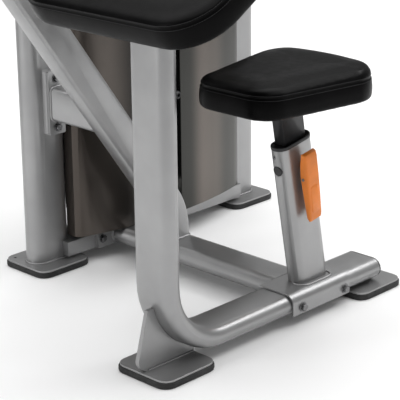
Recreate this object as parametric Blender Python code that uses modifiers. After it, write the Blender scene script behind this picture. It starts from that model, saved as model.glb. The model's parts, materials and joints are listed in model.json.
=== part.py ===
"""Seated arm curl machine with a weight tower: metres, +Z up, origin at the bottom centre of its box.

+X runs from the weight tower to the user's seat, and the user faces -Y. The seat frame lies in the
plane X = SEAT_X, and the weight tower in the plane X = TOWER_X.
"""

from math import asin, atan2, cos, hypot, pi, radians, sin, sqrt, tan

import bmesh
import bpy
from mathutils import Euler, Vector

# Driving dimensions
GAP = 0.0003                 # between solids that touch
WELD = 0.001                 # how far welded pieces run into each other
SEAT_X = 0.251               # plane of the seat frame
TOWER_X = -0.394             # plane of the tower uprights

TUBE_WIDTH = 0.106           # flat-oval frame tube, across its flats' long way
TUBE_DEPTH = 0.046
TUBE_BOTTOM = 0.024          # height of the base tubes above the floor

FOOT_SIDE = 0.158
FOOT_CORNER = 0.028
RUBBER_HEIGHT = 0.013
FOOT_TOP = 0.0175
FOOT_INSET = 0.003
FRONT_FOOT_Y = -0.1887
SEAT_FOOT_Y = 0.4454
TOWER_FRONT_Y = 0.0347
TOWER_REAR_Y = 0.7158

BEND_CENTRE_Y = -0.062       # the seat tube's bend from vertical to level
BEND_CENTRE_Z = 0.194
BEND_RADIUS = BEND_CENTRE_Z - TUBE_BOTTOM - TUBE_DEPTH / 2
FRONT_TUBE_Y = BEND_CENTRE_Y - BEND_RADIUS
FRONT_TUBE_TOP = 0.765
BASE_TUBE_END = 0.464

LINK_Y = 0.250               # the beam from the seat frame to the tower
LINK_TOP = TUBE_BOTTOM + TUBE_DEPTH

POST_Y = 0.264               # the seat post's foot, and its lean towards the user's front
POST_Z = 0.069
POST_LEAN = radians(10.5)
POST_LENGTH = 0.343
INNER_X, INNER_Y = 0.030, 0.072
SEAT_BOTTOM = 0.5080
SEAT_HEIGHT = 0.080
SEAT_FRONT_Y = -0.0040
SEAT_LENGTH = 0.3520
SEAT_FRONT_HALF = 0.124
SEAT_BACK_HALF = 0.155

PAD_FRONT_Y = -0.334         # lower front edge of the arm pad, and its slope
PAD_FRONT_Z = 0.7257
PAD_SLOPE = radians(31.3)
PAD_WIDTH = 0.526
PAD_LENGTH = 0.40
PAD_CORNER = 0.105
PAD_HEIGHT = 0.070

UPRIGHT_WIDTH, UPRIGHT_DEPTH = 0.1145, 0.060
UPRIGHT_TOP = 1.235
REAR_UPRIGHT_Y = 0.710
STACK_Y = 0.3705             # middle of the tower
BEAM_HALF = 0.050
BEAM_TOP = 0.060
TOP_BEAM_HALF, TOP_BEAM_HEIGHT = 0.040, 0.035
CAM_BRACKET_X = TOWER_X - UPRIGHT_DEPTH / 2 - 0.0045
BOOM_FRONT_Y = -0.200

MAST_X = -0.171
MAST_THICK, MAST_WIDE = 0.050, 0.080
MAST_FOOT_Y = 0.2475
MAST_ANGLE = radians(54.2)
MAST_KNEE_Z = 0.1359
MAST_TOP_Z = 0.872
MAST_BEND = 0.15

PIVOT_Y, PIVOT_Z = -0.305, 0.885   # elbow axis, parallel to X
SHAFT_R = 0.0125
CAM_R = 0.090
BELT_THICK, BELT_WIDE = 0.003, 0.025
PULLEY_R, PULLEY_FLANGE_R = 0.045, 0.049
PULLEY_Z = 1.325
LEVER_X = -0.085
LEVER_REACH = 0.430
LEVER_REST = radians(3.0)    # above level

PLATE_COUNT, LIFTED = 12, 3
PLATE_PITCH = 0.0265
STACK_BOTTOM = 0.135
STACK_HALF_X, STACK_HALF_Y = 0.055, 0.190
ROD_SPACING = 0.130
SHROUD_BOTTOM, SHROUD_TOP = 0.0708, 1.2295
SHROUD_HALF = 0.288
SHROUD_SAGITTA = 0.045
SHROUD_APEX_X = -0.285
REAR_APEX_X = -0.512
SLOT_HALF = 0.028
WALL = 0.004

ROUND_STEPS = 8              # steps in half a turn of a tube's rounded side

# Frames that carry a flat outline into the world: its normal then runs along the axis left out
YZ = (pi / 2, 0, pi / 2)
XZ = (pi / 2, 0, 0)
XY = (0, 0, 0)


def clear_scene():
    for old in list(bpy.data.objects):
        bpy.data.objects.remove(old, do_unlink=True)


def collection(name):
    made = bpy.data.collections.new(name)
    bpy.context.scene.collection.children.link(made)
    return made


clear_scene()
MACHINE = collection("arm_curl_machine")
CUTTERS = collection("cutters")
CUTTERS.hide_render = True


def material(name, colour, roughness, metallic=0.0):
    made = bpy.data.materials.new(name)
    made.use_nodes = True
    shader = made.node_tree.nodes["Principled BSDF"]
    shader.inputs["Base Color"].default_value = (*colour, 1)
    shader.inputs["Roughness"].default_value = roughness
    shader.inputs["Metallic"].default_value = metallic
    return made


SILVER = material("silver_paint", (0.42, 0.42, 0.42), 0.42, 0.3)
BLACK_PAINT = material("black_paint", (0.03, 0.03, 0.03), 0.45)
DARK_STEEL = material("dark_steel", (0.10, 0.10, 0.10), 0.4, 0.8)
CHROME = material("chrome", (0.75, 0.75, 0.75), 0.12, 1.0)
RUBBER = material("rubber", (0.015, 0.015, 0.015), 0.8)
VINYL = material("black_vinyl", (0.012, 0.012, 0.012), 0.45)
SMOKE = material("smoked_plastic", (0.10, 0.085, 0.07), 0.25)
ORANGE = material("orange_plastic", (0.80, 0.22, 0.02), 0.45)
BLACK_PLASTIC = material("black_plastic", (0.02, 0.02, 0.02), 0.5)
BELT = material("belt", (0.02, 0.02, 0.02), 0.7)


# Outlines: lists of (u, v) points, counterclockwise

def arc(cu, cv, radius, start, end, steps):
    """Points on a circle from one angle to another, in radians."""
    return [(cu + radius * cos(start + (end - start) * k / steps),
             cv + radius * sin(start + (end - start) * k / steps)) for k in range(steps + 1)]


def circle(cu, cv, radius, steps=12):
    return arc(cu, cv, radius, 0, 2 * pi * (steps - 1) / steps, steps - 1)


def rounded(width, height, radius, steps=4, cu=0.0, cv=0.0):
    """A rectangle with round corners; with radius = height / 2 it is a flat oval."""
    u, v = width / 2 - radius, height / 2 - radius
    corners = [(u, v), (-u, v), (-u, -v), (u, -v)]
    points = []
    for turn, (pu, pv) in enumerate(corners):
        points += arc(cu + pu, cv + pv, radius, turn * pi / 2, (turn + 1) * pi / 2, steps)
    return without_doubles(points)


def without_doubles(points):
    kept = []
    for p in points:
        if not kept or hypot(p[0] - kept[-1][0], p[1] - kept[-1][1]) > 1e-5:
            kept.append(p)
    if hypot(kept[0][0] - kept[-1][0], kept[0][1] - kept[-1][1]) < 1e-5:
        kept.pop()
    return kept


def oval(width, height, cu=0.0, cv=0.0):
    """A flat oval: straight along the longer side, round at its ends."""
    return rounded(width, height, min(width, height) / 2 - 1e-5, ROUND_STEPS // 2, cu, cv)


def capsule(c0, r0, c1, r1, steps=7):
    """The outline around two circles and the straight edges that touch both."""
    span = hypot(c1[0] - c0[0], c1[1] - c0[1])
    along = atan2(c1[1] - c0[1], c1[0] - c0[0])
    spread = pi / 2 + asin((r1 - r0) / span)
    first = arc(*c0, r0, along + spread, along + 2 * pi - spread, steps)
    second = arc(*c1, r1, along - spread, along + spread, steps)
    return first + second


# Solids

def place(obj, where, mat, parent=None):
    """Names an object's home, its material and its parent, whose axes its own place is then in."""
    for home in list(obj.users_collection):
        home.objects.unlink(obj)
    where.objects.link(obj)
    obj.parent = parent
    if mat:
        obj.data.materials.clear()
        obj.data.materials.append(mat)
    return obj


def as_mesh(obj):
    """Turns a curve into a mesh object with its caps welded, at the same place."""
    bpy.context.view_layer.update()
    evaluated = obj.evaluated_get(bpy.context.evaluated_depsgraph_get())
    mesh = bpy.data.meshes.new_from_object(evaluated)
    work = bmesh.new()
    work.from_mesh(mesh)
    bmesh.ops.remove_doubles(work, verts=work.verts, dist=1e-6)
    bmesh.ops.recalc_face_normals(work, faces=work.faces)
    work.to_mesh(mesh)
    work.free()
    made = bpy.data.objects.new(obj.name, mesh)
    MACHINE.objects.link(made)
    made.parent = obj.parent
    made.location = obj.location
    made.rotation_euler = obj.rotation_euler
    name = obj.name
    bpy.data.objects.remove(obj)
    made.name = name
    return made


def prism(name, loops, depth, frame, location, mat, parent=None):
    """A flat outline, with any holes as further loops, made as thick as depth about its plane."""
    curve = bpy.data.curves.new(name, "CURVE")
    curve.dimensions = "2D"
    curve.fill_mode = "BOTH"
    curve.extrude = depth / 2
    for loop in loops:
        spline = curve.splines.new("POLY")
        spline.points.add(len(loop) - 1)
        for point, (u, v) in zip(spline.points, loop):
            point.co = (u, v, 0, 1)
        spline.use_cyclic_u = True
    obj = bpy.data.objects.new(name, curve)
    MACHINE.objects.link(obj)
    obj.location = location
    obj.rotation_euler = frame
    obj.parent = parent
    return place(as_mesh(obj), MACHINE, mat, parent)


def block(name, size, centre, mat, bevel=0.0, parent=None):
    """A box with its edges bevelled."""
    mesh = bpy.data.meshes.new(name)
    work = bmesh.new()
    bmesh.ops.create_cube(work, size=1.0)
    bmesh.ops.scale(work, vec=size, verts=work.verts)
    work.to_mesh(mesh)
    work.free()
    obj = bpy.data.objects.new(name, mesh)
    obj.location = centre
    if bevel:
        edge = obj.modifiers.new("edges", "BEVEL")
        edge.width = bevel
        edge.segments = 1
    return place(obj, MACHINE, mat, parent)


def rod(name, radius, length, centre, axis, mat, sides=12, parent=None):
    """A cylinder about a point, along X, Y or Z of its parent."""
    mesh = bpy.data.meshes.new(name)
    work = bmesh.new()
    bmesh.ops.create_cone(work, cap_ends=True, segments=sides, radius1=radius, radius2=radius, depth=length)
    turn = {"X": Euler((0, pi / 2, 0)), "Y": Euler((pi / 2, 0, 0)), "Z": Euler((0, 0, 0))}[axis]
    bmesh.ops.rotate(work, verts=work.verts, matrix=turn.to_matrix())
    work.to_mesh(mesh)
    work.free()
    obj = bpy.data.objects.new(name, mesh)
    obj.location = centre
    return place(obj, MACHINE, mat, parent)


def turned(name, profile, centre, axis, mat, steps=16, parent=None):
    """A closed section of (radius, along) points turned about X, Y or Z, its outer side against the axis."""
    stand = {"X": Euler((0, pi / 2, 0)), "Y": Euler((-pi / 2, 0, 0)), "Z": Euler((0, 0, 0))}[axis].to_matrix()
    mesh = bpy.data.meshes.new(name)
    mesh.from_pydata([stand @ Vector((r, 0, a)) for r, a in profile],
                     [(k, (k + 1) % len(profile)) for k in range(len(profile))], [])
    obj = bpy.data.objects.new(name, mesh)
    obj.location = centre
    screw = obj.modifiers.new("turn", "SCREW")
    screw.axis = axis
    screw.steps = screw.render_steps = steps
    screw.use_merge_vertices = True
    screw.merge_threshold = 1e-5
    screw.use_normal_calculate = False
    return place(obj, MACHINE, mat, parent)


def swept(name, section, path, frame, location, mat):
    """A section carried along a path in its own plane, with closed ends."""
    guide_curve = bpy.data.curves.new(name + "_section", "CURVE")
    guide_curve.dimensions = "2D"
    ring = guide_curve.splines.new("POLY")
    ring.points.add(len(section) - 1)
    for point, (u, v) in zip(ring.points, section):
        point.co = (u, v, 0, 1)
    ring.use_cyclic_u = True
    guide = bpy.data.objects.new(name + "_section", guide_curve)
    CUTTERS.objects.link(guide)
    guide.hide_render = True
    guide.display_type = "WIRE"
    curve = bpy.data.curves.new(name, "CURVE")
    curve.dimensions = "2D"
    spline = curve.splines.new("POLY")
    spline.points.add(len(path) - 1)
    for point, (u, v) in zip(spline.points, path):
        point.co = (u, v, 0, 1)
    curve.bevel_mode = "OBJECT"
    curve.bevel_object = guide
    curve.use_fill_caps = True
    obj = bpy.data.objects.new(name, curve)
    MACHINE.objects.link(obj)
    obj.location = location
    obj.rotation_euler = frame
    return place(as_mesh(obj), MACHINE, mat)


def cut(target, *cutters):
    """Takes the cutters out of the target."""
    for k, tool in enumerate(cutters):
        tool.name = f"{target.name}_cutter_{k}"
        for home in list(tool.users_collection):
            home.objects.unlink(tool)
        CUTTERS.objects.link(tool)
        tool.hide_render = True
        tool.display_type = "WIRE"
        step = target.modifiers.new(f"cut_{k}", "BOOLEAN")
        step.operation = "DIFFERENCE"
        step.object = tool
    return target


def welded(target, *pieces):
    """Makes the target one solid with pieces that run into it."""
    for k, piece in enumerate(pieces):
        for home in list(piece.users_collection):
            home.objects.unlink(piece)
        CUTTERS.objects.link(piece)
        piece.name = f"{target.name}_joined_{k}"
        piece.hide_render = True
        piece.display_type = "WIRE"
        step = target.modifiers.new(f"join_{k}", "BOOLEAN")
        step.operation = "UNION"
        step.object = piece
    return target


def axes(name, location, lean):
    """An empty whose axes are the world's, leaned about X."""
    empty = bpy.data.objects.new(name, None)
    empty.location = location
    empty.rotation_euler = (lean, 0, 0)
    MACHINE.objects.link(empty)
    return empty


# Feet

FEET = {"front": (SEAT_X, FRONT_FOOT_Y), "seat": (SEAT_X, SEAT_FOOT_Y),
        "tower_front": (TOWER_X, TOWER_FRONT_Y), "tower_rear": (TOWER_X, TOWER_REAR_Y)}


def foot_plate(name, x, y):
    side = FOOT_SIDE - 2 * FOOT_INSET
    low = RUBBER_HEIGHT + GAP
    back = name.startswith("tower")
    hole = circle(-side / 2 + 0.02, (-1 if back else 1) * (side / 2 - 0.02), 0.0035, 8)
    loops = [rounded(side, side, FOOT_CORNER - FOOT_INSET), hole]
    return prism(f"foot_plate_{name}", loops, FOOT_TOP - low, XY, (x, y, (low + FOOT_TOP) / 2), SILVER)


def feet():
    for name, (x, y) in FEET.items():
        prism(f"rubber_foot_{name}", [rounded(FOOT_SIDE, FOOT_SIDE, FOOT_CORNER)], RUBBER_HEIGHT, XY,
              (x, y, RUBBER_HEIGHT / 2), RUBBER)
        if "tower" not in name:
            foot_plate(name, x, y)
    top = TUBE_BOTTOM - GAP
    riser = block("riser", (0.050, 0.100, top - FOOT_TOP + WELD),
                  (SEAT_X, SEAT_FOOT_Y - 0.02, (top + FOOT_TOP - WELD) / 2), SILVER)
    welded(bpy.data.objects["foot_plate_seat"], riser)


# Seat frame

def seat_frame():
    path = [(FRONT_TUBE_Y, FRONT_TUBE_TOP)]
    path += arc(BEND_CENTRE_Y, BEND_CENTRE_Z, BEND_RADIUS, pi, 3 * pi / 2, 12)
    path.append((BASE_TUBE_END, BEND_CENTRE_Z - BEND_RADIUS))
    swept("seat_frame_tube", oval(TUBE_DEPTH, TUBE_WIDTH), path, YZ, (SEAT_X, 0, 0), SILVER)
    cap_thick = 0.003
    prism("seat_frame_end_cap", [oval(TUBE_WIDTH, TUBE_DEPTH)], cap_thick, XZ,
          (SEAT_X, BASE_TUBE_END + GAP + cap_thick / 2, BEND_CENTRE_Z - BEND_RADIUS), BLACK_PLASTIC)

    outer = BEND_RADIUS + TUBE_DEPTH / 2 + GAP
    right_y, tip_z = -0.1117, 0.148
    low = FOOT_TOP - WELD
    end_angle = pi + asin((BEND_CENTRE_Z - tip_z) / outer)
    start_angle = 3 * pi / 2 - asin((BEND_CENTRE_Y - right_y) / outer)
    edge = arc(BEND_CENTRE_Y, BEND_CENTRE_Z, outer, start_angle, end_angle, 8)
    toe = arc(-0.243, low + 0.030, 0.030, 1.05 * pi, 1.5 * pi, 5)
    gusset = [(right_y, low)] + edge + [(-0.243, tip_z)] + toe
    plate = prism("gusset", [gusset], 0.010, YZ, (SEAT_X, 0, 0), SILVER)
    welded(bpy.data.objects["foot_plate_front"], plate)

    flange_x = TOWER_X + BEAM_HALF + GAP
    flange = 0.012
    beam_start = flange_x + flange - WELD
    beam_end = SEAT_X - TUBE_WIDTH / 2 - GAP
    beam = prism("link_beam", [oval(TUBE_WIDTH, TUBE_DEPTH)], beam_end - beam_start, YZ,
                 ((beam_start + beam_end) / 2, LINK_Y, TUBE_BOTTOM + TUBE_DEPTH / 2), SILVER)
    end = prism("flange", [rounded(0.202, 0.045, 0.004, 2)], flange, YZ,
                (flange_x + flange / 2, LINK_Y, TUBE_BOTTOM + 0.0225), SILVER)
    welded(beam, end)


SADDLE_FRONT, SADDLE_BACK = 0.149, 0.345
SADDLE_WALL = 0.004


def saddle():
    """The bent sheet over the base tube: flat above, with a lip past the tube, and down its outer side."""
    bend = 0.0225
    top, side = TUBE_DEPTH / 2 + GAP, TUBE_WIDTH / 2 + 0.0005
    lip, skirt = -0.045, -0.021
    bend_u, bend_v = side + SADDLE_WALL - bend, top + SADDLE_WALL - bend
    outer = arc(bend_u, bend_v, bend, pi / 2, 0, 6)
    inner = arc(bend_u, bend_v, bend - SADDLE_WALL, 0, pi / 2, 6)
    section = [(lip, top + SADDLE_WALL)] + outer + [(side + SADDLE_WALL, skirt), (side, skirt)]
    section += inner + [(lip, top)]
    prism("saddle_bracket", [section[::-1]], SADDLE_BACK - SADDLE_FRONT, XZ,
          (SEAT_X, (SADDLE_FRONT + SADDLE_BACK) / 2, BEND_CENTRE_Z - BEND_RADIUS), SILVER)


def bolt(name, x, y, z):
    """A hexagon head on its washer, drawn down on a face that looks along +X."""
    washer, head = 0.002, 0.007
    disc = rod(name, 0.0115, washer, (x + GAP + washer / 2, y, z), "X", DARK_STEEL, 12)
    welded(disc, rod("head", 0.0090, head, (x + GAP + washer - WELD / 2 + head / 2, y, z), "X", DARK_STEEL, 6))


STUB_Y, STUB_Z = 0.047, 0.419
PAD_THICK, FLANGE_THICK = 0.015, 0.0075
UPRIGHT_FACE = TOWER_X + UPRIGHT_DEPTH / 2


def bolts():
    saddle_face = SEAT_X + TUBE_WIDTH / 2 + 0.0005 + SADDLE_WALL
    link_face = TOWER_X + BEAM_HALF + GAP + 0.012
    stub_face = UPRIGHT_FACE + PAD_THICK + GAP + FLANGE_THICK
    bolt("saddle_bolt_front", saddle_face, 0.181, 0.041)
    bolt("saddle_bolt_rear", saddle_face, 0.328, 0.041)
    bolt("link_bolt_front", link_face, 0.1637, 0.0477)
    bolt("link_bolt_rear", link_face, 0.3363, 0.0477)
    bolt("stub_bolt_low", stub_face, 0.041, STUB_Z - 0.058)
    bolt("stub_bolt_high", stub_face, 0.041, STUB_Z + 0.061)


# Seat post, its lever and the sliding seat

POST = axes("post_axes", (SEAT_X, POST_Y, POST_Z), POST_LEAN)
LEVER_S = (0.334 - POST_Z) / cos(POST_LEAN)      # the lever's pivot, up the post
LEVER_OUT = 0.0195                               # and out from the post's face
POST_FACE = TUBE_DEPTH / 2
PIN_DROP = 0.035                                 # the lock pin lies this far below the pivot
LEVER_WIDTH = 0.040


def seat_post():
    post = prism("seat_post", [oval(TUBE_DEPTH, TUBE_WIDTH)], POST_LENGTH, XY,
                 (0, 0, POST_LENGTH / 2), SILVER, POST)
    bore_low, bore_high = 0.020, POST_LENGTH + 0.02
    bore = block("bore", (INNER_X + 0.0008, INNER_Y + 0.0008, bore_high - bore_low),
                 (0, 0, (bore_high + bore_low) / 2), None, 0, POST)
    plug_s = POST_LENGTH - 0.048
    plug_hole = rod("plug_hole", 0.0122, 0.03, (0, -TUBE_WIDTH / 2, plug_s), "Y", None, 16, POST)
    pin_hole = rod("pin_hole", 0.0056, 0.03, (POST_FACE, 0, LEVER_S - PIN_DROP), "X", None, 12, POST)
    floor_z = LINK_TOP + SADDLE_WALL + 2 * GAP
    under = block("under", (0.2, 0.3, 0.1), (SEAT_X, POST_Y, floor_z - 0.05), None)
    at = (POST_FACE, 0, LEVER_S)
    tongue = [(-WELD, -0.027), (0.003, -0.027)] + arc(LEVER_OUT, 0, 0.0052, -pi / 2, pi / 2, 5)
    tongue += [(0.003, 0.020), (-WELD, 0.020)]
    welded(post, prism("tongue", [tongue, circle(LEVER_OUT, 0, 0.0040, 10)], 0.012, XZ, at, None, POST))
    cut(post, bore, plug_hole, pin_hole, under)
    collar = 0.009
    hole = rounded(INNER_X + 0.0008, INNER_Y + 0.0008, 0.002, 1)
    prism("post_collar", [oval(TUBE_DEPTH + 0.001, TUBE_WIDTH + 0.001), hole], collar, XY,
          (0, 0, POST_LENGTH + GAP + collar / 2), BLACK_PLASTIC, POST)


def seat_lever():
    """The rocking lever on the post's outer face; its lower end is pulled out to draw the lock pin."""
    profile = [(-0.0005, 0.060), (-0.0065, 0.034), (-0.0109, 0.0), (-0.0075, -0.096), (-0.0040, -0.1005),
               (0.0010, -0.096), (0.0067, -0.055), (0.0105, 0.0), (0.0130, 0.050), (0.0105, 0.060)]
    pocket = [(-0.0295, 0.046), (-0.0295, -0.084), (-0.0035, -0.084), (0.0027, -0.050), (0.0062, 0.0),
              (0.0085, 0.046)]
    pin_at = (POST_FACE + LEVER_OUT, 0, LEVER_S)
    lever = prism("seat_lever", [profile[::-1]], LEVER_WIDTH, XZ, pin_at, ORANGE, POST)
    hollow = prism("hollow", [pocket], LEVER_WIDTH - 0.008, XZ, pin_at, None, POST)
    cut(lever, hollow, rod("pin_way", 0.0040, 0.06, pin_at, "Y", None, 12, POST))
    rod("lever_pivot_pin", 0.0035, LEVER_WIDTH + 0.004, pin_at, "Y", DARK_STEEL, 10, POST)
    tip = INNER_X / 2 + 0.0006
    head_x = POST_FACE + 0.0105
    low = LEVER_S - PIN_DROP
    stem = rod("lock_pin", 0.0050, head_x + WELD - tip, ((head_x + WELD + tip) / 2, 0, low), "X", CHROME, 12, POST)
    welded(stem, rod("button", 0.0080, 0.003, (head_x + 0.0015, 0, low), "X", None, 12, POST))


def seat():
    plate = 0.005
    plate_low = SEAT_BOTTOM - GAP - plate
    bottom_s = 0.085
    top_s = (plate_low - POST_Z) / cos(POST_LEAN) + 0.05
    inner = block("seat_carrier", (INNER_X, INNER_Y, top_s - bottom_s), (0, 0, (top_s + bottom_s) / 2),
                  BLACK_PAINT, 0.0025, POST)
    over = block("over", (0.2, 0.3, 0.1), (SEAT_X, POST_Y - 0.08, plate_low + WELD + 0.05), None)
    cut(inner, over)
    middle = SEAT_FRONT_Y + SEAT_LENGTH / 2 + 0.010
    welded(inner, block("plate", (0.150, 0.200, plate), (SEAT_X, middle, plate_low + plate / 2), None, 0.001))
    front, back = 0.070, 0.085
    half_f, half_b, length = SEAT_FRONT_HALF, SEAT_BACK_HALF, SEAT_LENGTH
    outline = arc(half_f - front, front, front, -pi / 2, -0.10, 5)
    outline += arc(half_b - back, length - back, back, -0.05, pi / 2, 6)
    outline += [(-u, v) for u, v in reversed(outline)]
    prism("seat_pad", [outline], SEAT_HEIGHT, XY,
          (SEAT_X, SEAT_FRONT_Y, SEAT_BOTTOM + SEAT_HEIGHT / 2), VINYL)


# Arm pad

ARM_PAD = axes("arm_pad_axes", (SEAT_X, PAD_FRONT_Y, PAD_FRONT_Z), PAD_SLOPE)


def arm_pad():
    prism("arm_pad", [rounded(PAD_WIDTH, PAD_LENGTH, PAD_CORNER, 6)], PAD_HEIGHT, XY,
          (0, PAD_LENGTH / 2, PAD_HEIGHT / 2), VINYL, ARM_PAD)
    plate = 0.005
    under_z = PAD_FRONT_Z - (GAP + plate) / cos(PAD_SLOPE)

    def under(y):
        return under_z + (y - PAD_FRONT_Y) * tan(PAD_SLOPE)

    backing = block("plate", (0.300, 0.260, plate), (0, 0.19, -GAP - plate / 2), None, 0.001, ARM_PAD)
    low = FRONT_TUBE_TOP + GAP
    wedge = [(FRONT_TUBE_Y - 0.023, low), (FRONT_TUBE_Y + 0.023, low), (-0.090, under(-0.090) + WELD),
             (-0.262, under(-0.262) + WELD)]
    welded(prism("arm_pad_bracket", [wedge], 0.070, YZ, (SEAT_X, 0, 0), BLACK_PAINT), backing)


# Tower

def upright(name, y):
    """A tower post with its foot plate."""
    low = FOOT_TOP - WELD
    post = prism(name, [oval(UPRIGHT_DEPTH, UPRIGHT_WIDTH)], UPRIGHT_TOP - low, XY,
                 (TOWER_X, y, (UPRIGHT_TOP + low) / 2), SILVER)
    foot = name.replace("upright", "tower")
    return welded(post, foot_plate(foot, *FEET[foot]))


def tower():
    front = upright("upright_front", TOWER_FRONT_Y)
    upright("upright_rear", REAR_UPRIGHT_Y)
    reach = 0.026
    start, end = TOWER_FRONT_Y + reach, REAR_UPRIGHT_Y - reach
    height = BEAM_TOP - TUBE_BOTTOM
    beam = block("base_beam", (2 * BEAM_HALF, end - start, height),
                 (TOWER_X, (start + end) / 2, TUBE_BOTTOM + height / 2), SILVER)
    around = oval(UPRIGHT_DEPTH + 2 * GAP, UPRIGHT_WIDTH + 2 * GAP)
    copes = [prism("cope", [around], 0.1, XY, (TOWER_X, y, 0.05), None) for y in (TOWER_FRONT_Y, REAR_UPRIGHT_Y)]
    cut(beam, *copes)

    low = UPRIGHT_TOP + GAP
    end = REAR_UPRIGHT_Y + UPRIGHT_WIDTH / 2
    top = block("top_beam", (2 * TOP_BEAM_HALF, end - BOOM_FRONT_Y, TOP_BEAM_HEIGHT),
                (TOWER_X, (BOOM_FRONT_Y + end) / 2, low + TOP_BEAM_HEIGHT / 2), SILVER, 0.003)
    cut(top, block("belt_way", (0.034, 0.014, 0.1), (TOWER_X, STACK_Y, low), None))

    for side, name in ((-1, "front"), (1, "rear")):
        y = STACK_Y + side * ROD_SPACING
        length = UPRIGHT_TOP - BEAM_TOP - 2 * GAP
        rod(f"guide_rod_{name}", 0.0095, length, (TOWER_X, y, (UPRIGHT_TOP + BEAM_TOP) / 2), "Z", CHROME, 12)
        height = STACK_BOTTOM - BEAM_TOP - 2 * GAP
        section = [(0.0098, height / 2), (0.022, height / 2), (0.022, -height / 2), (0.0098, -height / 2)]
        turned(f"stack_bumper_{name}", section, (TOWER_X, y, (STACK_BOTTOM + BEAM_TOP) / 2), "Z", RUBBER, 14)

    outline = rounded(0.049, 0.157, 0.003, 1)
    pad_start = UPRIGHT_FACE - WELD
    pad_end = UPRIGHT_FACE + PAD_THICK
    pad = prism("pad", [outline], pad_end - pad_start, YZ, ((pad_start + pad_end) / 2, 0.041, 0.4215), None)
    arm = capsule((0.020, PIVOT_Z), 0.055, (PIVOT_Y, PIVOT_Z), 0.045)
    hole = circle(PIVOT_Y, PIVOT_Z, SHAFT_R + GAP, 20)
    holder = prism("holder", [arm, hole], 0.010, YZ, (CAM_BRACKET_X, 0, 0), None)
    welded(front, pad, holder)
    start = pad_end + GAP
    end = MAST_X - MAST_THICK / 2 - GAP
    stub = prism("stub_tube", [rounded(0.050, 0.082, 0.012, 3)], end - start, YZ,
                 ((start + end) / 2, STUB_Y, STUB_Z), SILVER)
    welded(stub, prism("flange", [outline], FLANGE_THICK, YZ, (start + FLANGE_THICK / 2, 0.041, 0.4215), None))


def mast():
    """The slanted strut: upright from the link beam for a little way, then leaning towards -Y."""
    turn = pi / 2 - MAST_ANGLE
    reach = MAST_BEND * tan(turn / 2)
    bend = arc(MAST_FOOT_Y - MAST_BEND, MAST_KNEE_Z - reach, MAST_BEND, 0, turn, 6)
    top_y = MAST_FOOT_Y - (MAST_TOP_Z - MAST_KNEE_Z) / tan(MAST_ANGLE)
    path = [(MAST_FOOT_Y, LINK_TOP + GAP)] + bend + [(top_y, MAST_TOP_Z)]
    strut = swept("mast", rounded(MAST_WIDE, MAST_THICK, 0.010, 2), path, YZ, (MAST_X, 0, 0), SILVER)
    housing_r = 0.042
    cut(strut, rod("housing_room", housing_r + GAP, 0.1, (MAST_X, PIVOT_Y, PIVOT_Z), "X", None, 24))

    def ring(name, inner, outer, width, x, mat):
        section = [(inner, width / 2), (outer, width / 2), (outer, -width / 2), (inner, -width / 2)]
        turned(name, section, (x, PIVOT_Y, PIVOT_Z), "X", mat, 24)

    ring("pivot_housing", 0.0263, housing_r, 0.090, MAST_X, SILVER)
    ring("pivot_bearing_left", SHAFT_R + GAP, 0.0260, 0.012, MAST_X - 0.038, CHROME)
    ring("pivot_bearing_right", SHAFT_R + GAP, 0.0260, 0.012, MAST_X + 0.038, CHROME)


# Curl arm

LEVER_END_Y = PIVOT_Y - LEVER_REACH * cos(LEVER_REST)
LEVER_END_Z = PIVOT_Z + LEVER_REACH * sin(LEVER_REST)
BAR_R = 0.014
GRIP_R = 0.019
GRIP_LENGTH = 0.122
GRIP_SKEW = radians(18)      # the grips slant forward on their outer side
GRIP_OUT = 0.130             # from the seat plane to the middle of a grip
GRIP_Y = LEVER_END_Y - 0.0235


CURL = axes("curl_axes", (LEVER_X, PIVOT_Y, PIVOT_Z), 0)


def from_curl(x, y, z):
    """A place in the world, in the curl axes."""
    return (x - LEVER_X, y - PIVOT_Y, z - PIVOT_Z)


def curl_arm():
    start, end = CAM_BRACKET_X - 0.010, LEVER_X + 0.020
    rod("curl_shaft", SHAFT_R, end - start, ((start + end) / 2, PIVOT_Y, PIVOT_Z), "X", CHROME, 20)
    rim = CAM_R
    section = [(SHAFT_R + GAP, 0.017), (0.030, 0.017), (0.030, 0.013), (rim, 0.013), (rim, -0.013),
               (0.030, -0.013), (0.030, -0.017), (SHAFT_R + GAP, -0.017)]
    turned("cam", section, (TOWER_X, PIVOT_Y, PIVOT_Z), "X", BLACK_PAINT, 32)
    inner = rim + GAP
    band = arc(PIVOT_Y, PIVOT_Z, inner + BELT_THICK, radians(-70), radians(112), 26)
    band += arc(PIVOT_Y, PIVOT_Z, inner, radians(112), radians(-70), 26)
    prism("cam_belt", [band], BELT_WIDE, YZ, from_curl(TOWER_X, 0, 0), BELT, CURL)

    weight_y = PIVOT_Y + 0.115 * cos(LEVER_REST)
    weight_z = PIVOT_Z - 0.115 * sin(LEVER_REST)
    outline = capsule((LEVER_END_Y, LEVER_END_Z), 0.024, (weight_y, weight_z), 0.036, 9)
    holes = [circle(PIVOT_Y, PIVOT_Z, SHAFT_R + GAP, 20), circle(LEVER_END_Y, LEVER_END_Z, BAR_R + GAP, 16)]
    arm = prism("lever_arm", [outline] + holes, 0.020, YZ, from_curl(LEVER_X, 0, 0), SILVER, CURL)
    weight_at = from_curl(LEVER_X + 0.010 - WELD + 0.015, weight_y, weight_z)
    welded(arm, rod("weight", 0.043, 0.030, weight_at, "X", None, 24, CURL))
    handle()


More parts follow.
